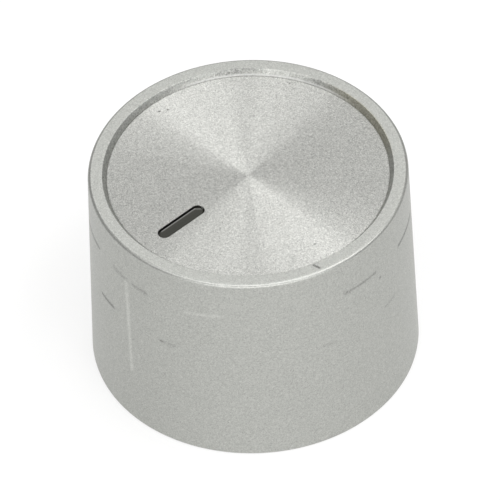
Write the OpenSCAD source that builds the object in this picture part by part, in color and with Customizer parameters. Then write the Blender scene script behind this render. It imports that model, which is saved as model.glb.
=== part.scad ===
// Oven control knob: a drafted hollow moulding with a raised rim round a recessed face,
// a spun metal disc in that recess, a dark pointer that shows through the disc's slot,
// and a spring ring that squeezes the split boss onto the spindle.
// The origin is on the spindle's axis in the plane of the rear edge. +Z points out of the
// panel, towards the hand, and the pointer lies along -Y.

/* [Body] */
// Outer diameter at the rear edge
base_d = 42; // [40:0.5:48]
// How far the drafted side leans in from the rear edge to the rim
side_lean = 0.7; // [0.2:0.1:1.6]
// Height from the rear edge to the rim
knob_h = 30; // [28:0.5:38]
// Thickness of the side wall
wall = 2; // [1.5:0.1:3]
// Thickness of the web that carries the face disc
web_t = 2.2; // [1.8:0.1:3]
// Width of the raised rim
rim_w = 1.85; // [1.4:0.05:2.6]
// Radius of the rim's outer edge
rim_round = 0.45; // [0.1:0.05:0.6]
// Radius of the rear edge, outside and inside
rear_round = 0.4; // [0.1:0.05:0.6]

/* [Face disc] */
// Depth of the disc's face below the rim
recess_depth = 0.75; // [0.5:0.05:1.6]
// How far the recess wall leans in on its way down to the disc
recess_lean = 0.5; // [0.1:0.05:0.8]
// Thickness of the disc
disc_t = 0.8; // [0.6:0.1:1.2]
// Gap between the disc's edge and the recess wall
disc_gap = 0.02; // [0.01:0.01:0.15]
// Chamfer on the disc's upper edge
disc_edge = 0.05; // [0.05:0.05:0.2]

/* [Pointer] */
// Length of the slot in the disc
slot_len = 7.4; // [5:0.1:9]
// Width of the slot in the disc
slot_w = 1.75; // [1.2:0.05:2.4]
// Distance from the disc's edge to the outer end of the slot
slot_margin = 2.65; // [2:0.05:5]
// Depth of the pointer's face below the disc's face
pointer_sink = 0.2; // [0.1:0.05:0.5]
// Gap between the pointer and the edge of the slot
pointer_gap = 0.12; // [0.05:0.01:0.2]
// How far the pointer's foot reaches past the slot, under the disc
foot_margin = 0.9; // [0.5:0.1:1.4]
// Thickness of the pointer's foot
foot_t = 0.9; // [0.6:0.1:1.2]
// Gap between the foot and its pocket in the web
foot_gap = 0.06; // [0.02:0.01:0.15]

/* [Spindle socket] */
// Diameter of the spindle
spindle_d = 6; // [5:0.1:6.3]
// Distance from the spindle's flat to its far side
spindle_flat = 4.6; // [4:0.1:5.2]
// Clearance between spindle and socket, on the radius
spindle_gap = 0.05; // [0.02:0.01:0.15]
// Diameter of the round lead-in at the mouth
lead_d = 6.8; // [6.6:0.1:8]
// Length of the round lead-in
lead_len = 5; // [3:0.5:8]
// Chamfer round the mouth of the lead-in
lead_chamfer = 0.5; // [0.2:0.1:0.8]
// Depth of the socket, lead-in included
socket_depth = 20; // [16:0.5:21]
// Outer diameter of the boss round the socket
boss_d = 12.4; // [11.6:0.2:14]
// Distance from the rear edge up to the boss's mouth
boss_setback = 3; // [1:0.5:5]
// Width of the two splits that let the boss flex
split_w = 1.2; // [0.8:0.1:1.8]
// Length of the splits, from the mouth
split_len = 10; // [7:0.5:13]

/* [Ribs] */
// Number of ribs between boss and wall
rib_count = 6; // [4:2:8]
// Thickness of a rib
rib_t = 1.4; // [1:0.1:2]
// Height of a rib where it meets the boss
rib_boss_h = 11; // [8:0.5:13]
// Height of a rib where it meets the wall
rib_wall_h = 6; // [4:0.5:10]

/* [Grip ring] */
// Thickness of the spring strip
ring_t = 0.7; // [0.5:0.05:1]
// Width of the spring strip
ring_w = 4; // [3:0.25:6]
// Depth of the ring's groove in the boss
ring_seat = 0.45; // [0.3:0.05:0.7]
// Gap between the ring and its groove
ring_gap = 0.03; // [0.02:0.01:0.1]
// Distance from the boss's mouth to the ring's groove
ring_setback = 1.6; // [1:0.1:3]
// Angle of the opening in the ring
ring_opening = 40; // [20:5:70]

/* [Hidden] */
$fn = 96;
// Overrun of every cut past the face that it opens
overrun = 1;
// Straight segments in a rounded edge
arc_steps = 5;

base_r = base_d / 2;
top_r = base_r - side_lean;
rim_in_r = top_r - rim_w;
seat_r = rim_in_r - recess_lean;
disc_r = seat_r - disc_gap;
slot_r = disc_r - slot_margin - slot_len / 2;
boss_r = boss_d / 2;
socket_r = spindle_d / 2 + spindle_gap;
flat_y = spindle_flat - spindle_d / 2 + spindle_gap;
groove_r = boss_r - ring_seat;
ring_in_r = groove_r + ring_gap;

face_z = knob_h - recess_depth;
seat_z = face_z - disc_t;
web_z = seat_z - web_t;
pointer_z = face_z - pointer_sink;
mouth_z = boss_setback;
groove_z = mouth_z + ring_setback;
groove_w = ring_w + ring_gap;
lead_end_z = mouth_z + lead_len;

// Radius of the drafted outside, of the inside and of the middle of the wall, at height z
function outer_r(z) = base_r - side_lean * z / knob_h;
function inner_r(z) = outer_r(z) - wall;
function mid_r(z) = outer_r(z) - wall / 2;

// Points on an arc about c, from angle a to angle b
function arc(c, r, a, b) =
    [for (i = [0 : arc_steps]) let (t = a + (b - a) * i / arc_steps) c + r * [cos(t), sin(t)]];

// Half section of the moulded shell, from the rear edge over the rim to the axis and back
module shell_section() {
    polygon(concat(
        arc([outer_r(rear_round) - rear_round, rear_round], rear_round, 270, 360),
        arc([outer_r(knob_h - rim_round) - rim_round, knob_h - rim_round], rim_round, 0, 90),
        [[rim_in_r, knob_h], [seat_r, face_z], [seat_r, seat_z], [0, seat_z]],
        [[0, web_z], [inner_r(web_z), web_z]],
        arc([inner_r(rear_round) + rear_round, rear_round], rear_round, 180, 270)
    ));
}

// Slot with round ends, of full length l and width w, lying along Y round the pointer's middle
module pointer_outline(l, w) {
    straight = l - w;
    translate([0, -slot_r]) {
        square([w, straight], center = true);
        for (side = [-1, 1]) translate([0, side * straight / 2]) circle(d = w);
    }
}

// One rib in the plane of the axis, from inside the boss to the middle of the wall
module rib() {
    root_r = (socket_r + boss_r) / 2;
    wall_z = web_z - rib_wall_h;
    top_z = web_z + web_t / 2;
    rotate([90, 0, 0])
        linear_extrude(rib_t, center = true)
            polygon([
                [root_r, top_z],
                [root_r, web_z - rib_boss_h],
                [boss_r, web_z - rib_boss_h],
                [mid_r(wall_z), wall_z],
                [mid_r(top_z), top_z]
            ]);
}

// Room for the spindle: a round lead-in, then a D with its flat on the pointer's side
module spindle_room() {
    translate([0, 0, mouth_z - overrun]) cylinder(d = lead_d, h = lead_len + overrun);
    translate([0, 0, mouth_z - overrun]) cylinder(
        d1 = lead_d + 2 * (lead_chamfer + overrun), d2 = lead_d, h = lead_chamfer + overrun);
    difference() {
        translate([0, 0, mouth_z]) cylinder(r = socket_r, h = socket_depth);
        translate([-lead_d, -flat_y - lead_d, lead_end_z])
            cube([2 * lead_d, lead_d, socket_depth]);
    }
}

// The two splits in the mouth of the boss, in line across the axis
module splits() {
    translate([-boss_r - overrun, -split_w / 2, mouth_z - overrun])
        cube([boss_d + 2 * overrun, split_w, split_len + overrun]);
}

// Groove round the boss that the grip ring sits in
module ring_groove() {
    translate([0, 0, groove_z]) difference() {
        cylinder(r = boss_r + overrun, h = groove_w);
        translate([0, 0, -overrun]) cylinder(r = groove_r, h = groove_w + 2 * overrun);
    }
}

// Silver moulding: skirt, rim, web, ribs and the boss that takes the spindle
module knob_body() {
    color([0.70, 0.71, 0.69]) difference() {
        union() {
            rotate_extrude() shell_section();
            translate([0, 0, mouth_z]) cylinder(r = boss_r, h = web_z + web_t / 2 - mouth_z);
            for (i = [0 : rib_count - 1]) rotate(90 + i * 360 / rib_count) rib();
        }
        spindle_room();
        splits();
        ring_groove();
        translate([0, 0, seat_z - foot_t]) linear_extrude(foot_t + overrun)
            pointer_outline(slot_len + 2 * foot_margin, slot_w + 2 * foot_margin);
    }
}

// Spun metal disc bonded into the recess, with the slot stamped through it
module face_disc() {
    color([0.80, 0.80, 0.78]) difference() {
        translate([0, 0, seat_z]) rotate_extrude() polygon([
            [0, 0],
            [disc_r, 0],
            [disc_r, disc_t - disc_edge],
            [disc_r - disc_edge, disc_t],
            [0, disc_t]
        ]);
        translate([0, 0, seat_z - overrun]) linear_extrude(disc_t + 2 * overrun)
            pointer_outline(slot_len, slot_w);
    }
}

// Dark pointer: a foot that the disc traps in the web's pocket, and the bar that shows
module pointer_insert() {
    foot_reach = foot_margin - foot_gap;
    color([0.10, 0.10, 0.10]) {
        translate([0, 0, seat_z - foot_t]) linear_extrude(foot_t)
            pointer_outline(slot_len + 2 * foot_reach, slot_w + 2 * foot_reach);
        translate([0, 0, seat_z - foot_t]) linear_extrude(pointer_z - seat_z + foot_t)
            pointer_outline(slot_len - 2 * pointer_gap, slot_w - 2 * pointer_gap);
    }
}

// Open ring of spring strip, with its opening on the side away from the pointer
module grip_ring() {
    color([0.62, 0.63, 0.65])
        translate([0, 0, groove_z])
            rotate(90 + ring_opening / 2)
                rotate_extrude(angle = 360 - ring_opening)
                    translate([ring_in_r, 0]) square([ring_t, ring_w]);
}

knob_body();
face_disc();
pointer_insert();
grip_ring();
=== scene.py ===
# %% [markdown]
# # An oven knob, dressed on its solids
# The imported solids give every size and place. This lesson builds four smoother pieces in
# the same places, gives them finishes made of shader nodes, and sets up a small studio
# round them. Lengths are written in millimetres and turned into metres with MM.

# %% Load the solids
import math

import bmesh
import bpy
from mathutils import Matrix, Vector


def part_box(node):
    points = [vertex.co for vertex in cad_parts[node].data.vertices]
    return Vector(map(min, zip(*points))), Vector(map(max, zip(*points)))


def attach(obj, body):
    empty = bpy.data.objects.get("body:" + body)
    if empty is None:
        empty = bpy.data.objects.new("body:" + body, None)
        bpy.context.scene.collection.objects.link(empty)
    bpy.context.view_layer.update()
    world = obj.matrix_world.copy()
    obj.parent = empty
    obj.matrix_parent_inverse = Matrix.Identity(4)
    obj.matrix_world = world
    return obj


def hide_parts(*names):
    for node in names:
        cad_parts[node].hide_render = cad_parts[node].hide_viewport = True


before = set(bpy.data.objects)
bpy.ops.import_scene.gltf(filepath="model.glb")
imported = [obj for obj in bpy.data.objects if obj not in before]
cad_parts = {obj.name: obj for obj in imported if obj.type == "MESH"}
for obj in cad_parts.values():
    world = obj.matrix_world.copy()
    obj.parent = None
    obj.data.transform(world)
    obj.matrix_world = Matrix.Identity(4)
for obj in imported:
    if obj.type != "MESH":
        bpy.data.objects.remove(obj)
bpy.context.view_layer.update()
MM = 0.001
scene = bpy.context.scene
scene.view_settings.view_transform = "Standard"
print("solids:", sorted(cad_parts))

# %% [markdown]
# ## Camera
# The photograph was taken from above with a long lens, so the knob's ellipses hardly narrow
# with distance. The camera stands 1.2 m away, looks down at 46 degrees and is rolled a
# little, because the knob leans to the left in the picture. A lens shift could put the knob
# where the photograph has it, but it would stay on in other views. So the camera aims at a
# point above the knob's foot instead.

# %% Camera
CAMERA_AZIMUTH = 48.7  # degrees from the pointer's side, towards +X
CAMERA_ELEVATION = 46.14
CAMERA_DISTANCE = 1200 * MM
CAMERA_ROLL = -2.68
CAMERA_LENS = 671.2
AIM_RIGHT = -0.73 * MM
AIM_UP = 10.98 * MM


def around_knob(azimuth, elevation, distance):
    """A point seen from the knob's foot; azimuth 0 is the pointer's side, 90 is +X."""
    a, e = math.radians(azimuth), math.radians(elevation)
    return distance * Vector((math.sin(a) * math.cos(e), -math.cos(a) * math.cos(e), math.sin(e)))


def facing(place, target, roll=0.0):
    """A matrix at place that looks at target along -Z, rolled about that line."""
    turn = (target - place).to_track_quat("-Z", "Y").to_matrix().to_4x4()
    return Matrix.Translation(place) @ turn @ Matrix.Rotation(math.radians(roll), 4, "Z")


eye = around_knob(CAMERA_AZIMUTH, CAMERA_ELEVATION, CAMERA_DISTANCE)
axes = facing(eye, Vector(), CAMERA_ROLL).to_3x3()
aim = axes @ Vector((AIM_RIGHT, AIM_UP, 0))
camera = bpy.data.objects.new("photo_camera", bpy.data.cameras.new("photo_camera"))
camera.data.lens = CAMERA_LENS
camera.matrix_world = facing(eye, aim, CAMERA_ROLL)
scene.collection.objects.link(camera)
scene.camera = camera
print("camera at", [round(x, 3) for x in camera.location])

# %% [markdown]
# ## Light
# A metal knob mostly shows what it mirrors, so the lamps are placed for their reflections.
# Small lamps would leave hard dots, and a bright room alone would leave the metal flat, so
# large soft boxes stand in a dim, even room. A wide, low panel in front lights the side.
# Three boxes high up, on the left, in the middle and on the right, draw the bright fan on
# the spun face, and two farther back at the sides widen it. The two at the back light the
# flat rim. Edges that mirror the dim room between the boxes turn dark, as they do in the
# photograph.

# %% Soft boxes
SOFT_BOXES = {  # azimuth from the camera, elevation, width and height in m, watts
    "front_panel": (4, 12, 1.8, 0.4, 6.6),
    "left_box": (-52, 60, 0.65, 0.5, 2.1),
    "middle_box": (0, 66, 0.6, 0.4, 1.8),
    "right_box": (60, 60, 0.8, 0.5, 3.6),
    "right_back_box": (108, 52, 0.6, 0.6, 1.15),
    "left_back_box": (-100, 54, 0.6, 0.6, 0.35),
    "back_box": (180, 55, 0.6, 0.6, 1.95),
    "low_back_box": (180, 20, 0.8, 0.6, 0.35),
}
BOX_DISTANCE = 1.0

for name, (azimuth, elevation, width, height, watts) in SOFT_BOXES.items():
    lamp = bpy.data.objects.new(name, bpy.data.lights.new(name, "AREA"))
    lamp.data.shape = "RECTANGLE"
    lamp.data.size, lamp.data.size_y = width, height
    lamp.data.energy = watts
    lamp.matrix_world = facing(around_knob(CAMERA_AZIMUTH + azimuth, elevation, BOX_DISTANCE), Vector())
    scene.collection.objects.link(lamp)
    print(name, "with", watts, "W")

# %% Dim room
WHITE = (1, 1, 1, 1)
ROOM_LIGHT = 0.4

room = bpy.data.worlds.new("soft_room")
room.use_nodes = True
background = room.node_tree.nodes["Background"].inputs
background["Color"].default_value = WHITE
background["Strength"].default_value = ROOM_LIGHT
scene.world = room
print("room light", ROOM_LIGHT)

# %% [markdown]
# ## Floor
# The knob stands on a wide pale sheet. A plain plane would close off the hollow knob, so
# two circles are bridged to a sheet with a round hole. The hole is hidden under the knob and
# lets light into it when it is looked at from below, where the sheet itself is clear. For
# the camera and for mirror reflections the sheet is lifted towards white, which keeps the
# knob's soft shadow and needs no more light on the knob.

# %% Floor sheet
FLOOR_REACH = 3.0
FLOOR_HOLE = 19.6 * MM
FLOOR_SIDES = 64


def piece(shape, name):
    """A new object that holds a bmesh."""
    made = bpy.data.objects.new(name, bpy.data.meshes.new(name))
    shape.to_mesh(made.data)
    shape.free()
    scene.collection.objects.link(made)
    return made


sheet = bmesh.new()
for radius in (FLOOR_HOLE, FLOOR_REACH):
    bmesh.ops.create_circle(sheet, segments=FLOOR_SIDES, radius=radius)
bmesh.ops.bridge_loops(sheet, edges=sheet.edges)
bmesh.ops.recalc_face_normals(sheet, faces=sheet.faces)
if sheet.faces[:][0].normal.z < 0:
    bmesh.ops.reverse_faces(sheet, faces=sheet.faces)
floor = piece(sheet, "floor")
print("floor reaches", FLOOR_REACH, "m")


# %% Nodes in one line
def add(tree, kind, inputs=None, **settings):
    """A new node with its settings, whose inputs are values or other nodes' outputs."""
    made = tree.nodes.new(kind)
    for setting, value in settings.items():
        setattr(made, setting, value)
    for socket, value in (inputs or {}).items():
        if isinstance(value, bpy.types.NodeSocket):
            tree.links.new(value, made.inputs[socket])
        else:
            made.inputs[socket].default_value = value
    return made


def calc(tree, operation, *values, clamp=False):
    """What one Math node gives."""
    inputs = dict(enumerate(values))
    return add(tree, "ShaderNodeMath", inputs, operation=operation, use_clamp=clamp).outputs[0]


def blank(name):
    """A new material with an empty node tree."""
    made = bpy.data.materials.new(name)
    made.use_nodes = True
    made.node_tree.nodes.clear()
    return made


print("ready:", add.__name__, calc.__name__, blank.__name__)

# %% Pale floor
FLOOR_COLOR = (0.93, 0.93, 0.925, 1)
FLOOR_LIFT = 0.65

pale = blank("pale_floor")
tree = pale.node_tree
rays = add(tree, "ShaderNodeLightPath").outputs
seen = calc(tree, "MAXIMUM", rays["Is Camera Ray"], rays["Is Glossy Ray"])
seen = calc(tree, "MAXIMUM", seen, rays["Is Transmission Ray"])
lift = calc(tree, "MULTIPLY", seen, FLOOR_LIFT)
matt = add(tree, "ShaderNodeBsdfDiffuse", {"Color": FLOOR_COLOR}).outputs[0]
white = add(tree, "ShaderNodeEmission", {"Color": WHITE, "Strength": 1.0}).outputs[0]
top = add(tree, "ShaderNodeMixShader", {0: lift, 1: matt, 2: white}).outputs[0]
clear = add(tree, "ShaderNodeBsdfTransparent").outputs[0]
below = add(tree, "ShaderNodeNewGeometry").outputs["Backfacing"]
both = add(tree, "ShaderNodeMixShader", {0: below, 1: top, 2: clear}).outputs[0]
add(tree, "ShaderNodeOutputMaterial", {"Surface": both})
floor.data.materials.append(pale)
print("floor lifted towards white by", FLOOR_LIFT)

# %% [markdown]
# ## Moulded body: the shell
# The body is one plastic moulding. Its skirt, rim and web are round, and they could be
# cylinders that are joined and cut. A spin is simpler: the half section is drawn once, from
# the axis over the rim to the rear edge and back, and spun about the axis. The hard corners
# are then bevelled, which gives the edges that catch the light.

# %% Sizes of the shell
body_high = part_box("knob_body")[1]
disc_low, disc_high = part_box("face_disc")
REAR_R = 21.0
KNOB_H = body_high.z / MM
SIDE_LEAN = 0.7
WALL = 2.0
WEB_T = 2.2
RIM_W = 1.85
DISC_R = disc_high.x / MM
DISC_GAP = 0.02
FACE_Z = disc_high.z / MM
SEAT_Z = disc_low.z / MM
SEAT_R = DISC_R + DISC_GAP
WEB_Z = SEAT_Z - WEB_T


def skirt_r(z):
    """Outer radius of the drafted side at height z."""
    return REAR_R - SIDE_LEAN * z / KNOB_H


rim_r = skirt_r(KNOB_H)
rim_in_r = rim_r - RIM_W
print("rim radius", round(rim_r, 2), "recess radius", round(rim_in_r, 2), "mm")

# %% Spinning a half section
SPIN_STEPS = 256
SAME_PLACE = 0.0005 * MM  # points closer than this become one


def spun(section, steps=SPIN_STEPS):
    """A closed solid from a half section: (radius, height) points in millimetres.

    The first and the last point lie on the axis."""
    shape = bmesh.new()
    corners = [shape.verts.new((r * MM, 0, z * MM)) for r, z in section]
    edges = [shape.edges.new(pair) for pair in zip(corners, corners[1:])]
    bmesh.ops.spin(shape, geom=corners + edges, cent=(0, 0, 0), axis=(0, 0, 1), dvec=(0, 0, 0),
                   angle=math.tau, steps=steps, use_merge=True)
    bmesh.ops.remove_doubles(shape, verts=shape.verts, dist=SAME_PLACE)
    bmesh.ops.recalc_face_normals(shape, faces=shape.faces)
    return shape


shell = spun([
    (0, SEAT_Z), (SEAT_R, SEAT_Z), (SEAT_R, FACE_Z), (rim_in_r, KNOB_H), (rim_r, KNOB_H),
    (REAR_R, 0), (REAR_R - WALL, 0), (skirt_r(WEB_Z) - WALL, WEB_Z), (0, WEB_Z)])
print("shell:", len(shell.faces), "faces")

# %% Softer edges of the shell
RIM_ROUND = 0.45
RIM_INNER_ROUND = 0.06
REAR_ROUND = 0.4


def ring_edges(shape, radius, height, reach=0.01 * MM):
    """The edges of a spun shape that run round at this radius and height."""
    def on_ring(v):
        return abs(v.co.xy.length - radius * MM) < reach and abs(v.co.z - height * MM) < reach
    return [e for e in shape.edges if on_ring(e.verts[0]) and on_ring(e.verts[1])]


def round_edges(shape, edges, radius, segments=4):
    """Rounds edges with a bevel of this radius in millimetres."""
    bmesh.ops.bevel(shape, geom=edges, offset=radius * MM, offset_type="OFFSET", segments=segments,
                    profile=0.5, affect="EDGES", material=-1)


round_edges(shell, ring_edges(shell, rim_r, KNOB_H), RIM_ROUND, segments=6)
round_edges(shell, ring_edges(shell, rim_in_r, KNOB_H), RIM_INNER_ROUND, segments=2)
round_edges(shell, ring_edges(shell, REAR_R, 0) + ring_edges(shell, REAR_R - WALL, 0), REAR_ROUND)
print("shell with its edges softened:", len(shell.faces), "faces")

# %% [markdown]
# ## Moulded body: lacquer outside, bare plastic inside
# The knob is sprayed from outside, so the hollow inside keeps the bare plastic. Two objects
# could carry the two finishes, but the real moulding is one piece. So each face gets the
# number of its material here, and the shapes that are joined to the shell later bring
# their own numbers with them.

# %% Which faces are bare
LACQUER, BARE = 0, 1
BARE_FROM = 0.75 * WALL  # in from the outside of the skirt
BARE_TOP_Z = SEAT_Z - 0.5

for face in shell.faces:
    middle = face.calc_center_median() / MM
    inside = middle.xy.length < skirt_r(middle.z) - BARE_FROM and middle.z < BARE_TOP_Z
    face.material_index = BARE if inside else LACQUER
print("bare faces:", sum(face.material_index == BARE for face in shell.faces))

# %% [markdown]
# ## Moulded body: boss and ribs
# A boss stands in the middle for the spindle, with a groove round it for the spring ring,
# and six ribs tie it to the wall. The boss is another spun section. A rib isn't round, so it
# starts as a small flat outline, which is extruded to its thickness, softened along its
# lower edge and copied round the axis with a spin that duplicates. The outline begins a
# little inside the boss, because faces that only just touch join badly.

# %% Boss
ring_low, ring_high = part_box("grip_ring")
BOSS_R = 6.2
MOUTH_Z = 3.0
GROOVE_R = 5.75
GROOVE_Z = ring_low.z / MM
GROOVE_W = 4.03
BOSS_ROUND = 0.25
JOIN_Z = (WEB_Z + SEAT_Z) / 2
SMALL_STEPS = 96

boss = spun([
    (0, MOUTH_Z), (BOSS_R, MOUTH_Z), (BOSS_R, GROOVE_Z), (GROOVE_R, GROOVE_Z),
    (GROOVE_R, GROOVE_Z + GROOVE_W), (BOSS_R, GROOVE_Z + GROOVE_W), (BOSS_R, JOIN_Z),
    (0, JOIN_Z)], steps=SMALL_STEPS)
round_edges(boss, ring_edges(boss, BOSS_R, MOUTH_Z), BOSS_ROUND, segments=3)
print("boss:", len(boss.faces), "faces")

# %% One rib
RIB_T = 1.4
RIB_ROOT_R = 4.625
RIB_BOSS_Z = WEB_Z - 11.0
RIB_WALL_Z = WEB_Z - 6.0
RIB_START = 0.5  # how far inside the boss the sloping edge begins


def pushed(shape, faces, way):
    """Extrudes faces along a way in millimetres."""
    grown = bmesh.ops.extrude_face_region(shape, geom=faces)["geom"]
    bmesh.ops.translate(shape, vec=[step * MM for step in way],
                        verts=[g for g in grown if isinstance(g, bmesh.types.BMVert)])


rib_end_r = skirt_r(RIB_WALL_Z) - WALL / 2
slope = (RIB_WALL_Z - RIB_BOSS_Z) / (rib_end_r - BOSS_R)
start_r = BOSS_R - RIB_START
start_z = RIB_BOSS_Z - RIB_START * slope
outline = [(RIB_ROOT_R, JOIN_Z), (RIB_ROOT_R, start_z), (start_r, start_z),
           (rib_end_r, RIB_WALL_Z), (skirt_r(JOIN_Z) - WALL / 2, JOIN_Z)]
ribs = bmesh.new()
side = ribs.faces.new([ribs.verts.new((r * MM, -RIB_T / 2 * MM, z * MM)) for r, z in outline])
pushed(ribs, [side], (0, RIB_T, 0))
bmesh.ops.recalc_face_normals(ribs, faces=ribs.faces)
print("rib from radius", round(start_r, 2), "to", round(rib_end_r, 2), "mm")

# %% Ribs all round
RIB_COUNT = 6
FIRST_RIB = 90.0  # degrees, away from the pointer
RIB_ROUND = 0.3
PICK_REACH = 0.1
LEVEL = 1e-6  # m, points closer than this in one direction lie level


def on_slope(v):
    """Whether a point lies on the rib's sloping lower edge."""
    return v.co.x > (start_r - PICK_REACH) * MM and v.co.z < (RIB_WALL_Z + PICK_REACH) * MM


def all_of(shape):
    """Every point, edge and face of a shape."""
    return shape.verts[:] + shape.edges[:] + shape.faces[:]


def turned(shape, degrees):
    """Turns a shape about the knob's axis."""
    turn = Matrix.Rotation(math.radians(degrees), 3, "Z")
    bmesh.ops.rotate(shape, cent=(0, 0, 0), matrix=turn, verts=shape.verts)


lower = [e for e in ribs.edges if abs(e.verts[0].co.y - e.verts[1].co.y) < LEVEL
         and all(on_slope(v) for v in e.verts)]
round_edges(ribs, lower, RIB_ROUND, segments=3)
turned(ribs, FIRST_RIB)
bmesh.ops.spin(ribs, geom=all_of(ribs), cent=(0, 0, 0), axis=(0, 0, 1), dvec=(0, 0, 0),
               angle=math.tau * (RIB_COUNT - 1) / RIB_COUNT, steps=RIB_COUNT - 1,
               use_duplicate=True)
bmesh.ops.recalc_face_normals(ribs, faces=ribs.faces)
print("ribs:", len(ribs.faces), "faces, edges softened:", len(lower))

# %% [markdown]
# ## Moulded body: the spaces that are cut
# The spindle's room is a round lead-in with a chamfered mouth, then a D-shaped socket whose
# flat faces the pointer. Two splits let the boss flex. On the face side a pocket takes the
# pointer's foot. Most of these aren't round, so the spun sections can't hold them. Each is
# a plain solid of its own that is cut from the moulding.

# %% Spindle room
LEAD_R = 3.4
LEAD_END_Z = MOUTH_Z + 5.0
LEAD_CHAMFER = 0.5
SOCKET_R = 3.05
SOCKET_END_Z = MOUTH_Z + 20.0
FLAT_Y = -1.65
OVERRUN = 1.0  # how far a cut runs past the face that it opens


def raised(shape, bottom, top):
    """Extrudes the flat outline in a shape from one height to the other, in millimetres."""
    bmesh.ops.translate(shape, vec=(0, 0, bottom * MM), verts=shape.verts)
    pushed(shape, shape.faces[:], (0, 0, top - bottom))
    bmesh.ops.recalc_face_normals(shape, faces=shape.faces)
    return shape


lead = spun([
    (0, MOUTH_Z - OVERRUN), (LEAD_R + LEAD_CHAMFER + OVERRUN, MOUTH_Z - OVERRUN),
    (LEAD_R, MOUTH_Z + LEAD_CHAMFER), (LEAD_R, LEAD_END_Z), (0, LEAD_END_Z)], steps=SMALL_STEPS)
socket = bmesh.new()
bmesh.ops.create_circle(socket, cap_ends=True, segments=SMALL_STEPS, radius=SOCKET_R * MM)
bmesh.ops.bisect_plane(socket, geom=all_of(socket), plane_co=(0, FLAT_Y * MM, 0),
                       plane_no=(0, -1, 0), clear_outer=True)
raised(socket, LEAD_END_Z - OVERRUN, SOCKET_END_Z)
print("spindle room:", len(lead.faces) + len(socket.faces), "faces")

# %% Splits and pointer pocket
pointer_low, pointer_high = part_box("pointer_insert")
SPLIT_W = 1.2
SPLIT_END_Z = MOUTH_Z + 10.0
POINTER_Y = (pointer_low.y + pointer_high.y) / 2 / MM
SLOT_LEN = 7.4
SLOT_W = 1.75
FOOT_MARGIN = 0.9
FOOT_Z = pointer_low.z / MM


def long_outline(length, width, segments=48):
    """A flat outline with round ends along Y, round the pointer's middle.

    It is a disc whose two halves are moved apart."""
    shape = bmesh.new()
    bmesh.ops.create_circle(shape, cap_ends=True, segments=segments, radius=width / 2 * MM,
                            matrix=Matrix.Rotation(math.pi / segments, 4, "Z"))
    for v in shape.verts:
        v.co.y += math.copysign((length - width) / 2, v.co.y) * MM + POINTER_Y * MM
    return shape


splits = bmesh.new()
bmesh.ops.create_grid(splits, x_segments=1, y_segments=1, size=1.0)
bmesh.ops.scale(splits, vec=((BOSS_R + OVERRUN) * MM, SPLIT_W / 2 * MM, 1), verts=splits.verts)
raised(splits, MOUTH_Z - OVERRUN, SPLIT_END_Z)
pocket = raised(long_outline(SLOT_LEN + 2 * FOOT_MARGIN, SLOT_W + 2 * FOOT_MARGIN), FOOT_Z, FACE_Z)
print("pointer's middle at y", round(POINTER_Y, 2), "mm")

# %% [markdown]
# ## Moulded body: one mesh
# The shapes could stay apart inside each other, but the real moulding is one piece, and
# only one closed mesh is of use elsewhere. Boolean modifiers join the boss and ribs to the
# shell and cut the spaces from it, and the result is applied. Cuts leave points that almost
# touch, so these are welded. Smooth shading then keeps the hard edges hard, and weighted
# normals keep the large flat faces flat beside the small rounded ones.

# %% Joining and cutting
FINISHES = 2  # lacquer and bare plastic


def empty_slots(made, count):
    """Empty material slots, so that faces keep their numbers when shapes are joined."""
    for _ in range(count):
        made.data.materials.append(None)


def combine(base, steps):
    """Joins shapes to base or cuts them from it, in order, and keeps only the result."""
    tools = [piece(shape, "tool") for shape, _ in steps]
    for tool, (_, operation) in zip(tools, steps):
        step = base.modifiers.new(operation.lower(), "BOOLEAN")
        step.object, step.operation, step.solver = tool, operation, "EXACT"
        empty_slots(tool, FINISHES)
    made = bpy.data.meshes.new_from_object(base.evaluated_get(bpy.context.evaluated_depsgraph_get()))
    base.modifiers.clear()
    base.data = made
    for tool in tools:
        bpy.data.objects.remove(tool)


inner_shapes = [(boss, "UNION"), (ribs, "UNION"), (lead, "DIFFERENCE"), (socket, "DIFFERENCE"),
                (splits, "DIFFERENCE"), (pocket, "DIFFERENCE")]
for shape, _ in inner_shapes:
    for face in shape.faces:
        face.material_index = BARE
moulding = piece(shell, "knob_moulding")
empty_slots(moulding, FINISHES)
combine(moulding, inner_shapes)
print("moulding joined and cut:", len(moulding.data.polygons), "faces")

# %% Welding and shading
WELD = 0.005 * MM
SHARP_ANGLE = math.radians(32)


def welded(made):
    """Merges points that the cuts left almost touching, so that the mesh is closed in any file."""
    shape = bmesh.new()
    shape.from_mesh(made.data)
    bmesh.ops.remove_doubles(shape, verts=shape.verts, dist=WELD)
    bmesh.ops.triangulate(shape, faces=[f for f in shape.faces if len(f.verts) > 4])
    bmesh.ops.dissolve_degenerate(shape, edges=shape.edges, dist=WELD)
    shape.to_mesh(made.data)
    shape.free()


def shade(made):
    """Smooth shading with hard edges, and flat faces that stay flat."""
    made.data.shade_smooth()
    made.data.set_sharp_from_angle(angle=SHARP_ANGLE)
    made.modifiers.new("even_normals", "WEIGHTED_NORMAL").keep_sharp = True


welded(moulding)
shade(moulding)
print("moulding:", len(moulding.data.polygons), "faces")

# %% [markdown]
# ## Spun face disc
# The face is a thin metal disc with a turned finish and a slot stamped through it for the
# pointer. A picture of a slot would do from far away, but the dark gap beside the pointer
# needs a real one. So a filled circle is extruded to the disc's thickness, loses the sharp
# corner at its upper edge and has the slot cut through it, whose edge is softened too.

# %% Face disc
DISC_EDGE = 0.05

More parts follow.
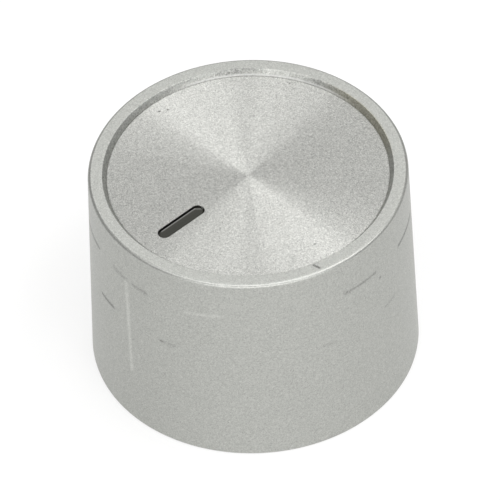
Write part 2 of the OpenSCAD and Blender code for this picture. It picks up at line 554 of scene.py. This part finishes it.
disc = bmesh.new()
bmesh.ops.create_circle(disc, cap_ends=True, segments=SPIN_STEPS, radius=DISC_R * MM)
raised(disc, SEAT_Z, FACE_Z)
round_edges(disc, ring_edges(disc, DISC_R, FACE_Z), DISC_EDGE, segments=2)
slot = raised(long_outline(SLOT_LEN, SLOT_W), SEAT_Z - OVERRUN, FACE_Z + OVERRUN)
face_disc = piece(disc, "spun_face")
empty_slots(face_disc, 1)
combine(face_disc, [(slot, "DIFFERENCE")])
print("disc with its slot:", len(face_disc.data.polygons), "faces")

# %% Edge of the slot
SLOT_EDGE = 0.05
LIP_REACH = DISC_R - 2.0  # edges farther out belong to the disc's own edge
CORNER = 1.0  # radians, the least turn of a corner


def at_height(v, z):
    """Whether a point lies at height z, in millimetres."""
    return abs(v.co.z - z * MM) < LEVEL


edged = bmesh.new()
edged.from_mesh(face_disc.data)
lip = [e for e in edged.edges if all(at_height(v, FACE_Z) for v in e.verts)
       and len(e.link_faces) == 2 and e.calc_face_angle() > CORNER
       and e.verts[0].co.xy.length < LIP_REACH * MM]
round_edges(edged, lip, SLOT_EDGE, segments=2)
edged.to_mesh(face_disc.data)
edged.free()
shade(face_disc)
print("disc:", len(face_disc.data.polygons), "faces, slot edges softened:", len(lip))

# %% [markdown]
# ## Pointer
# The pointer is a dark plastic bar with a wider foot that the disc traps. Foot and bar could
# be two solids that are joined. Growing one from the other leaves cleaner faces: the foot is
# extruded first, its upper face is inset to the bar's width and extruded again, and the
# bar's upper edge is rounded, because a sharp edge would catch no light.

# %% Pointer
POINTER_GAP = 0.12
FOOT_GAP = 0.06
POINTER_ROUND = 0.16
POINTER_Z = pointer_high.z / MM
UPWARD = 0.9  # the least upward part of an upper face's normal

foot_reach = FOOT_MARGIN - FOOT_GAP
bar = raised(long_outline(SLOT_LEN + 2 * foot_reach, SLOT_W + 2 * foot_reach), FOOT_Z, SEAT_Z)
upper = [f for f in bar.faces if f.normal.z > UPWARD]
bmesh.ops.inset_region(bar, faces=upper, thickness=(foot_reach + POINTER_GAP) * MM, use_even_offset=True)
pushed(bar, upper, (0, 0, POINTER_Z - SEAT_Z))
bmesh.ops.delete(bar, geom=upper, context="FACES_ONLY")
bmesh.ops.recalc_face_normals(bar, faces=bar.faces)
crown = [e for e in bar.edges if all(at_height(v, POINTER_Z) for v in e.verts)]
round_edges(bar, crown, POINTER_ROUND)
pointer = piece(bar, "pointer_bar")
shade(pointer)
print("pointer:", len(pointer.data.polygons), "faces")

# %% [markdown]
# ## Spring ring
# An open ring of spring strip sits in the boss's groove and squeezes the split boss onto
# the spindle. It could be a whole ring with a gap cut out. A spin that stops short is
# simpler: the strip's section is one small face, turned to one side of the opening and spun
# to the other side. A bevel takes the sharpness off the strip's edges.

# %% Spring ring
RING_R = 6.48
RING_T = 0.7
RING_EDGE = 0.1
RING_TOP_Z = ring_high.z / MM
RING_OPENING = 40.0  # degrees
RING_BACK = 90.0  # the middle of the opening, away from the pointer

strip = bmesh.new()
section = [(RING_R - RING_T, GROOVE_Z), (RING_R, GROOVE_Z),
           (RING_R, RING_TOP_Z), (RING_R - RING_T, RING_TOP_Z)]
strip.faces.new([strip.verts.new((r * MM, 0, z * MM)) for r, z in section])
turned(strip, RING_BACK + RING_OPENING / 2)
bmesh.ops.spin(strip, geom=all_of(strip), cent=(0, 0, 0), axis=(0, 0, 1), dvec=(0, 0, 0),
               angle=math.radians(360 - RING_OPENING), steps=SMALL_STEPS)
bmesh.ops.remove_doubles(strip, verts=strip.verts, dist=SAME_PLACE)
bmesh.ops.recalc_face_normals(strip, faces=strip.faces)
round_edges(strip, [e for e in strip.edges if e.calc_face_angle(0) > CORNER], RING_EDGE, segments=2)
spring = piece(strip, "spring_ring")
shade(spring)
print("ring:", len(spring.data.polygons), "faces")

# %% [markdown]
# ## Shared effects
# Three effects are used by more than one finish. Each could be drawn anew in every
# material, but a node group with named inputs is built once and placed with other values.
# "Fine grain" is the sparkle of lacquer flakes or the tooth of a surface: small cells, each
# with a brightness of its own, and a noise for their height. "Fine lines" are the grooves of
# turning or rolling: a noise that changes in one direction only. "Mark" is a rub, scratch
# or speck: it measures how far a point lies from a short line and fades with the distance.

# %% A group with named sockets
FLOAT, VECTOR = "NodeSocketFloat", "NodeSocketVector"


def group(name, inputs, outputs):
    """An empty shader node group with its sockets; returns the tree and its two ends."""
    made = bpy.data.node_groups.new(name, "ShaderNodeTree")
    for socket, kind in inputs.items():
        made.interface.new_socket(socket, in_out="INPUT", socket_type=kind)
    for socket in outputs:
        made.interface.new_socket(socket, in_out="OUTPUT", socket_type=FLOAT)
    return made, made.nodes.new("NodeGroupInput").outputs, made.nodes.new("NodeGroupOutput").inputs


def vector_calc(tree, operation, *values, out="Vector"):
    """What one Vector Math node gives, a vector or a value."""
    return add(tree, "ShaderNodeVectorMath", dict(enumerate(values)), operation=operation).outputs[out]


def scaled(tree, vector, factor):
    """A vector or a colour times a factor."""
    return add(tree, "ShaderNodeVectorMath", {0: vector, "Scale": factor}, operation="SCALE").outputs[0]


print("ready:", group.__name__, vector_calc.__name__, scaled.__name__)

# %% Fine grain
MIDDLE = 0.5  # the middle of what a noise gives
ONE_THIRD_EACH = (1 / 3, 1 / 3, 1 / 3)
GRAIN_DETAIL = 1.5

grain_group, given, result = group(
    "Fine grain", {"Point": VECTOR, "Fineness": FLOAT, "Contrast": FLOAT}, ["Shade", "Height"])
where = {"Vector": given["Point"], "Scale": given["Fineness"]}
cells = add(grain_group, "ShaderNodeTexVoronoi", where).outputs["Color"]
brightness = vector_calc(grain_group, "DOT_PRODUCT", cells, ONE_THIRD_EACH, out="Value")
spread = calc(grain_group, "SUBTRACT", brightness, MIDDLE)
shaded = calc(grain_group, "MULTIPLY_ADD", spread, given["Contrast"], 1.0)
noise = add(grain_group, "ShaderNodeTexNoise", {**where, "Detail": GRAIN_DETAIL}).outputs[0]
grain_group.links.new(shaded, result["Shade"])
grain_group.links.new(noise, result["Height"])
print("group:", grain_group.name)

# %% Fine lines
lines_group, given, result = group(
    "Fine lines", {"Distance": FLOAT, "Pitch": FLOAT, "Detail": FLOAT, "Contrast": FLOAT, "Shade": FLOAT},
    ["Shade", "Height"])
count = calc(lines_group, "DIVIDE", given["Distance"], given["Pitch"])
noise = add(lines_group, "ShaderNodeTexNoise", {"W": count, "Scale": 1.0, "Detail": given["Detail"]},
            noise_dimensions="1D").outputs[0]
spread = calc(lines_group, "SUBTRACT", noise, MIDDLE)
shaded = calc(lines_group, "MULTIPLY_ADD", spread, given["Contrast"], given["Shade"])
lines_group.links.new(shaded, result["Shade"])
lines_group.links.new(noise, result["Height"])
print("group:", lines_group.name)

# %% Marks
mark_group, given, result = group(
    "Mark", {"Point": VECTOR, "From": VECTOR, "To": VECTOR, "Width": FLOAT, "Strength": FLOAT}, ["Mask"])
way = vector_calc(mark_group, "SUBTRACT", given["To"], given["From"])
off = vector_calc(mark_group, "SUBTRACT", given["Point"], given["From"])
along = vector_calc(mark_group, "DOT_PRODUCT", off, way, out="Value")
whole = vector_calc(mark_group, "DOT_PRODUCT", way, way, out="Value")
share = calc(mark_group, "DIVIDE", along, whole, clamp=True)
nearest = scaled(mark_group, way, share)
distance = vector_calc(mark_group, "DISTANCE", off, nearest, out="Value")
fade = add(mark_group, "ShaderNodeMapRange", {
    "Value": distance, "From Min": given["Width"], "From Max": 0.0,
    "To Min": 0.0, "To Max": given["Strength"]}, interpolation_type="SMOOTHSTEP").outputs["Result"]
mark_group.links.new(fade, result["Mask"])
print("group:", mark_group.name)


# %% A finish and its parts
def finish(name):
    """A new material with a Principled shader.

    Returns the material, its tree, the shader and the Object coordinates, in metres."""
    made = blank(name)
    shader = add(made.node_tree, "ShaderNodeBsdfPrincipled")
    add(made.node_tree, "ShaderNodeOutputMaterial", {"Surface": shader.outputs[0]})
    return made, made.node_tree, shader, add(made.node_tree, "ShaderNodeTexCoord").outputs["Object"]


def grain(tree, point, size, contrast):
    """Fine grain of this size in millimetres."""
    return add(tree, "ShaderNodeGroup", {"Point": point, "Fineness": 1 / (size * MM), "Contrast": contrast},
               node_tree=grain_group).outputs


def fine_lines(tree, distance, pitch, detail, contrast, shade_below):
    """Fine lines over a shade; distance and pitch are in the same unit."""
    return add(tree, "ShaderNodeGroup", {
        "Distance": distance, "Pitch": pitch, "Detail": detail, "Contrast": contrast,
        "Shade": shade_below}, node_tree=lines_group).outputs


def marks(tree, point, lines):
    """All marks of a list of (from, to, width, strength) together, as one mask."""
    total = 0.0
    for start, stop, width, strength in lines:
        mask = add(tree, "ShaderNodeGroup", {
            "Point": point, "From": start, "To": stop, "Width": width, "Strength": strength},
            node_tree=mark_group).outputs["Mask"]
        total = calc(tree, "ADD", mask, total)
    return total


def blended(tree, share, first, second, how="MIX"):
    """Two colours, of which the second counts as much as share says."""
    return add(tree, "ShaderNodeMix", {0: share, 6: first, 7: second},
               data_type="RGBA", blend_type=how).outputs[2]


def bumped(tree, shader, height, depth):
    """A surface that rises and falls by this depth in millimetres."""
    bump = add(tree, "ShaderNodeBump", {"Height": height, "Distance": depth * MM, "Strength": 1.0})
    tree.links.new(bump.outputs["Normal"], shader.inputs["Normal"])


print("ready:", finish.__name__, "and the parts of a finish")

# %% [markdown]
# ## Silver lacquer
# The outside has a satin lacquer full of fine metal flakes. A plain grey would look like bare
# plastic, so it is a rough metal whose brightness changes from flake to flake. Use has left
# rubs on the side, most of them at two heights, a pale scratch down the side and a nick in
# the rim. They could be painted on a picture, but a mark that nodes draw as a short line
# stays sharp at any size. The side is unrolled to a flat map for that, with the distance
# round the knob across and the height up, both in millimetres. A second map has the radius
# across and the height up, and shows the rim and the recess wall as short lines.

# %% Rubs and scratches on the side
MAP_R = 20.45
DARK_RUBS = [  # from azimuth, height, to azimuth, height, width, darkness
    (-128.5, 23.9, -111.3, 24.5, 0.50, 0.34),
    (-99.5, 24.7, -92.6, 24.45, 0.60, 0.16),
    (-88.9, 24.4, -83.0, 24.45, 0.50, 0.20),
    (-7.0, 24.4, 7.5, 24.3, 0.42, 0.24),
    (23.7, 24.1, 40.5, 23.9, 0.45, 0.40),
    (-109.8, 16.9, -101.0, 17.15, 0.45, 0.36),
    (-77.3, 17.25, -71.1, 17.3, 0.45, 0.12),
    (-76.7, 17.25, -76.2, 17.25, 0.35, 0.20),
    (12.4, 16.9, 18.3, 16.9, 0.42, 0.15),
    (-16.8, 17.05, -12.5, 16.9, 0.45, 0.11),
    (10.2, 22.75, 10.2, 22.75, 0.32, 0.42),
]
PALE_RUBS = [  # the same, with lightness last
    (-92.8, 24.2, -91.2, 8.8, 0.55, 0.20),
    (-66.4, 24.0, -53.8, 24.45, 0.45, 0.14),
]


def on_side(azimuth, height):
    """A place on the unrolled side; azimuth is counted from +X."""
    return math.radians(azimuth) * MAP_R, height, 0.0


def side_lines(rubs):
    """Rubs as lines on the unrolled side."""
    return [(on_side(a, h), on_side(b, k), width, strength) for a, h, b, k, width, strength in rubs]


print("rubs:", len(DARK_RUBS), "dark,", len(PALE_RUBS), "pale")

# %% Maps of the lacquer
lacquer, tree, shader, point = finish("silver_lacquer")
place = scaled(tree, point, 1 / MM)
across, back, up = add(tree, "ShaderNodeSeparateXYZ", {"Vector": place}).outputs
round_side = calc(tree, "MULTIPLY", calc(tree, "ARCTAN2", back, across), MAP_R)
radius = calc(tree, "SQRT", calc(tree, "MULTIPLY_ADD", across, across, calc(tree, "MULTIPLY", back, back)))
side_map = add(tree, "ShaderNodeCombineXYZ", {"X": round_side, "Y": up}).outputs[0]
section_map = add(tree, "ShaderNodeCombineXYZ", {"X": radius, "Y": up}).outputs[0]
round_map = add(tree, "ShaderNodeCombineXYZ", {"X": round_side}).outputs[0]
print("maps at radius", MAP_R, "mm")

# %% Flakes, rubs and painted shade
LACQUER_COLOR = (0.433, 0.438, 0.415)
FLAKE_SIZE = 0.11
FLAKE_CONTRAST = 0.6


def on_top(radius, azimuth, height):
    """A place on the rim or the face, in millimetres."""
    a = math.radians(azimuth)
    return radius * math.cos(a), radius * math.sin(a), height


RIM_NICK = [(on_top(18.8, -17.2, KNOB_H), on_top(19.5, -16.0, KNOB_H), 0.28, 0.55)]
# A painted shade: a thin dark line along the rim's inner edge, only on the far side.
INNER_EDGE_SHADE = [((rim_in_r, KNOB_H, 0), (rim_in_r, KNOB_H, 0), 0.14, 0.15)]
FAR_SIDE = [(on_side(105, 0), on_side(155, 0), 8.0, 1.0)]

rubs = calc(tree, "ADD", marks(tree, side_map, side_lines(DARK_RUBS)), marks(tree, place, RIM_NICK))
far_side = marks(tree, round_map, FAR_SIDE)
# The rubs and the nick are wear; the line on the rim's inner edge is painted shade.
dark = calc(tree, "MULTIPLY_ADD", marks(tree, section_map, INNER_EDGE_SHADE), far_side, rubs)
pale_rub = marks(tree, side_map, side_lines(PALE_RUBS))
flakes = grain(tree, point, FLAKE_SIZE, FLAKE_CONTRAST)
worn_and_shaded = calc(tree, "ADD", calc(tree, "SUBTRACT", flakes["Shade"], dark), pale_rub)
print("flakes of", FLAKE_SIZE, "mm")

# %% [markdown]
# ## Silver lacquer: the recess wall
# The narrow wall between rim and disc is hard to spray and to wipe. Its lacquer is coarser and patchy, and
# brownish over part of its length. A pale, matt line is painted along its foot on the far side: a painted
# highlight where the foot catches light. A material of its own would end in a hard seam, so the lacquer
# carries it all: the wall is one short line on the second map, and a range round the knob says where each
# patch lies.

# %% Patchy wall
WALL_LINE = [((rim_in_r, KNOB_H, 0), (SEAT_R, FACE_Z, 0), 0.2, 1.0)]
WALL_GRAIN = 0.16
WALL_CONTRAST = 0.8
DULL_PATCH = [(on_side(139, 0), on_side(144, 0), 3.5, 0.18)]
PALE_PATCH = [(on_side(115, 0), on_side(127, 0), 3.0, 0.24)]

wall = marks(tree, section_map, WALL_LINE)
rough = calc(tree, "SUBTRACT", grain(tree, point, WALL_GRAIN, WALL_CONTRAST)["Shade"], 1.0)
patches = calc(tree, "SUBTRACT", marks(tree, round_map, PALE_PATCH), marks(tree, round_map, DULL_PATCH))
uneven = calc(tree, "MULTIPLY_ADD", calc(tree, "ADD", rough, patches), wall, worn_and_shaded)
print("wall grain of", WALL_GRAIN, "mm")

# %% Grime and a painted highlight on the wall
GRIME_COLOR = (0.92, 0.89, 0.79, 1)
GRIME_REACH = [(on_side(66, 0), on_side(92, 0), 6.0, 1.0)]
FOOT_HIGHLIGHT_COLOR = (0.55, 0.55, 0.535, 1)
# A painted highlight: a pale, matt line along the wall's foot on the far side, where the foot catches
# light.
FOOT_HIGHLIGHT_LINE = [((SEAT_R + 0.03, FACE_Z + 0.06, 0), (SEAT_R + 0.11, FACE_Z + 0.17, 0), 0.14, 0.6)]

grime = calc(tree, "MULTIPLY", wall, marks(tree, round_map, GRIME_REACH))
soiled_and_shaded = blended(tree, grime, scaled(tree, LACQUER_COLOR, uneven), GRIME_COLOR, how="MULTIPLY")
foot_highlight = calc(tree, "MULTIPLY", marks(tree, section_map, FOOT_HIGHLIGHT_LINE), far_side)
tree.links.new(blended(tree, foot_highlight, soiled_and_shaded, FOOT_HIGHLIGHT_COLOR), shader.inputs["Base Color"])
tree.links.new(calc(tree, "SUBTRACT", 1.0, foot_highlight), shader.inputs["Metallic"])
print("grime and dust over", len(GRIME_REACH) + len(FOOT_HIGHLIGHT_LINE), "places")

# %% Satin of the lacquer
LACQUER_ROUGHNESS = 0.5
RUB_ROUGHER = 0.3
SMOOTHER = 0.08
SMOOTH_LINES = [((rim_r - 0.3, KNOB_H, 0), (rim_r, KNOB_H - 0.3, 0), 0.35, 1.0),
                ((rim_in_r, KNOB_H, 0), (SEAT_R, FACE_Z, 0), 0.12, 1.0)]
FLAKE_DEPTH = 0.002

smooth = calc(tree, "MULTIPLY", marks(tree, section_map, SMOOTH_LINES), -SMOOTHER)
satin = calc(tree, "MULTIPLY_ADD", dark, RUB_ROUGHER, LACQUER_ROUGHNESS)
tree.links.new(calc(tree, "ADD", satin, smooth), shader.inputs["Roughness"])
bumped(tree, shader, flakes["Height"], FLAKE_DEPTH)
print("finish:", lacquer.name)

# %% [markdown]
# ## Bare plastic
# Inside, the grey moulding shows. Spray that drifted round the rear edge fades out over the
# first few millimetres. A straight fade would look printed, so a noise moves its end up and
# down.

# %% Bare plastic
BARE_COLOR = (0.085, 0.085, 0.088)
BARE_GRAIN = 0.25
BARE_CONTRAST = 0.3
BARE_ROUGHNESS = 0.5
BARE_DEPTH = 0.006
SPRAY_REACH = 5.0
SPRAY_FULL = 1.0
SPRAY_UNEVEN = 3.0
SPRAY_CLOUDS = 400.0  # in a metre
SPRAY_DETAIL = 3.0

bare, tree, shader, point = finish("bare_plastic")
up = add(tree, "ShaderNodeSeparateXYZ", {"Vector": point}).outputs["Z"]
cloud = add(tree, "ShaderNodeTexNoise", {
    "Vector": point, "Scale": SPRAY_CLOUDS, "Detail": SPRAY_DETAIL}).outputs[0]
drift = calc(tree, "MULTIPLY_ADD", cloud, SPRAY_UNEVEN * MM, up)
spray = add(tree, "ShaderNodeMapRange", {
    "Value": drift, "From Min": SPRAY_REACH * MM, "From Max": SPRAY_FULL * MM},
    interpolation_type="SMOOTHSTEP").outputs[0]
tooth = grain(tree, point, BARE_GRAIN, BARE_CONTRAST)
plain = scaled(tree, BARE_COLOR, tooth["Shade"])
tree.links.new(blended(tree, spray, plain, (*LACQUER_COLOR, 1)), shader.inputs["Base Color"])
tree.links.new(spray, shader.inputs["Metallic"])
shader.inputs["Roughness"].default_value = BARE_ROUGHNESS
bumped(tree, shader, tooth["Height"], BARE_DEPTH)
print("finish:", bare.name)

# %% [markdown]
# ## Spun metal
# Turning leaves fine grooves that run round the disc, far too fine to model. They spread light across
# themselves, along the radius, so the shader's roughness is stretched along the radius instead, and the
# high soft boxes are drawn out to a fan of bright wedges. The direction of the radius is the Object
# coordinate without its height. A sparkling grain and faint rings break up the wedges. A few dark specks
# are wear, and a thin painted shadow darkens the disc's edge.

# %% Spun metal
SPUN_COLOR = (0.506, 0.508, 0.485)
SPUN_GRAIN = 0.1
SPUN_CONTRAST = 1.1
SPUN_ROUGHNESS = 0.42
SPUN_STRETCH = 1.0
SPUN_DEPTH = 0.004
RING_PITCH = 0.22
RING_DETAIL = 1.0
RING_CONTRAST = 0.05

spun_metal, tree, shader, point = finish("spun_metal")
place = scaled(tree, point, 1 / MM)
outward = vector_calc(tree, "MULTIPLY", place, (1, 1, 0))
radius = vector_calc(tree, "LENGTH", outward, out="Value")
sparkle = grain(tree, point, SPUN_GRAIN, SPUN_CONTRAST)
rings = fine_lines(tree, radius, RING_PITCH, RING_DETAIL, RING_CONTRAST, sparkle["Shade"])
tree.links.new(outward, shader.inputs["Tangent"])
shader.inputs["Metallic"].default_value = 1.0
shader.inputs["Roughness"].default_value = SPUN_ROUGHNESS
shader.inputs["Anisotropic"].default_value = SPUN_STRETCH
bumped(tree, shader, sparkle["Height"], SPUN_DEPTH)
print("rings about", RING_PITCH, "mm apart")

# %% Specks and painted edge shadow of the spun metal
SPECKS = [  # radius, from azimuth, to azimuth, width, darkness
    (16.4, 180.5, 180.5, 0.26, 0.85),
    (15.9, 177.1, 177.1, 0.25, 0.85),
    (17.2, 118.8, 118.8, 0.22, 0.5),
    (15.0, -9.8, -8.6, 0.2, 0.5),
]
# A painted shadow: a thin dark ring along the disc's edge, where the gap to the wall lies.
EDGE_SHADOW = [((DISC_R - 0.04, 0, 0), (DISC_R - 0.04, 0, 0), 0.16, 0.2)]

speck_lines = [(on_top(r, a, FACE_Z), on_top(r, b, FACE_Z), width, strength)
               for r, a, b, width, strength in SPECKS]
edge_map = add(tree, "ShaderNodeCombineXYZ", {"X": radius}).outputs[0]
# The specks are wear; the ring at the edge is a painted shadow.
dark = calc(tree, "ADD", marks(tree, place, speck_lines), marks(tree, edge_map, EDGE_SHADOW))
worn_and_shaded = calc(tree, "SUBTRACT", rings["Shade"], dark)
tree.links.new(scaled(tree, SPUN_COLOR, worn_and_shaded), shader.inputs["Base Color"])
print("finish:", spun_metal.name, "with", len(SPECKS), "specks")

# %% [markdown]
# ## Dark plastic
# The pointer is moulded in dark grey with a satin skin, and a pale painted highlight runs along its far
# edge. A flat black would swallow its shape, so fine grain changes its colour, gloss and height a little,
# and the painted highlight is drawn as two marks along the edge.

# %% Dark plastic
DARK_COLOR = (0.021, 0.0215, 0.0155)
DARK_GRAIN = 0.12
DARK_CONTRAST = 0.3
DARK_SPECULAR = 0.25
DARK_ROUGHNESS = 0.3
DARK_UNEVEN = 0.2
DARK_DEPTH = 0.006
EDGE_HIGHLIGHT_COLOR = (0.22, 0.22, 0.21, 1)
HIGHLIGHT_IN = 0.18  # in from the pointer's edge
HIGHLIGHT_W = 0.13

edge_x = POINTER_GAP + HIGHLIGHT_IN - SLOT_W / 2
end_y = (SLOT_LEN - SLOT_W) / 2
near_end = (edge_x, POINTER_Y - end_y, POINTER_Z)
far_end = (edge_x, POINTER_Y + end_y, POINTER_Z)
far_tip = (0, POINTER_Y + end_y - edge_x, POINTER_Z)
# A painted highlight: a pale line along the pointer's far top edge and round its far end.
PAINTED_EDGE_HIGHLIGHT = [(near_end, far_end, HIGHLIGHT_W, 1.0), (far_end, far_tip, HIGHLIGHT_W, 0.7)]

dark_plastic, tree, shader, point = finish("dark_plastic")
place = scaled(tree, point, 1 / MM)
tooth = grain(tree, point, DARK_GRAIN, DARK_CONTRAST)
plain = scaled(tree, DARK_COLOR, tooth["Shade"])
highlighted = blended(tree, marks(tree, place, PAINTED_EDGE_HIGHLIGHT), plain, EDGE_HIGHLIGHT_COLOR)
gloss = calc(tree, "MULTIPLY_ADD", tooth["Height"], DARK_UNEVEN, DARK_ROUGHNESS)
tree.links.new(highlighted, shader.inputs["Base Color"])
tree.links.new(gloss, shader.inputs["Roughness"])
shader.inputs["Specular IOR Level"].default_value = DARK_SPECULAR
bumped(tree, shader, tooth["Height"], DARK_DEPTH)
print("finish:", dark_plastic.name)

# %% [markdown]
# ## Spring steel
# The ring is cold-rolled strip. Rolling leaves lines along the strip, so fine lines that
# change only with the height are laid over the grain. Real grooves would cost many faces
# on a piece that is hardly seen.

# %% Spring steel
STEEL_COLOR = (0.42, 0.43, 0.44)
STEEL_GRAIN = 0.2
STEEL_CONTRAST = 0.2
STEEL_ROUGHNESS = 0.2
ROLL_PITCH = 0.15
ROLL_DETAIL = 2.0
ROLL_CONTRAST = 0.4
ROLL_ROUGHER = 0.2
ROLL_DEPTH = 0.003

spring_steel, tree, shader, point = finish("spring_steel")
up = add(tree, "ShaderNodeSeparateXYZ", {"Vector": point}).outputs["Z"]
tooth = grain(tree, point, STEEL_GRAIN, STEEL_CONTRAST)
rolled = fine_lines(tree, up, ROLL_PITCH * MM, ROLL_DETAIL, ROLL_CONTRAST, tooth["Shade"])
gloss = calc(tree, "MULTIPLY_ADD", rolled["Height"], ROLL_ROUGHER, STEEL_ROUGHNESS)
tree.links.new(scaled(tree, STEEL_COLOR, rolled["Shade"]), shader.inputs["Base Color"])
tree.links.new(gloss, shader.inputs["Roughness"])
shader.inputs["Metallic"].default_value = 1.0
bumped(tree, shader, rolled["Height"], ROLL_DEPTH)
print("finish:", spring_steel.name)

# %% [markdown]
# ## Handing over
# Each piece gets its finish, rides on the part's one body and stands for the solid whose place it takes.
# The solids could show as they are, but these pieces have the softer edges and the finishes. The dressed
# knob has the size of its solids, apart from a few thousandths of a millimetre, because the two meshes have
# their corners in other places round the edge.

# %% Finishes, body and solids
moulding.data.materials[LACQUER] = lacquer
moulding.data.materials[BARE] = bare
face_disc.data.materials[0] = spun_metal
pointer.data.materials.append(dark_plastic)
spring.data.materials.append(spring_steel)
for made, node, slot_name in (
        (moulding, "knob_body", "silver_lacquer"), (face_disc, "face_disc", "spun_metal"),
        (pointer, "pointer_insert", "dark_plastic"), (spring, "grip_ring", "spring_steel")):
    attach(made, "root")
    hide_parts(node)
    print(made.name, "stands for", node)
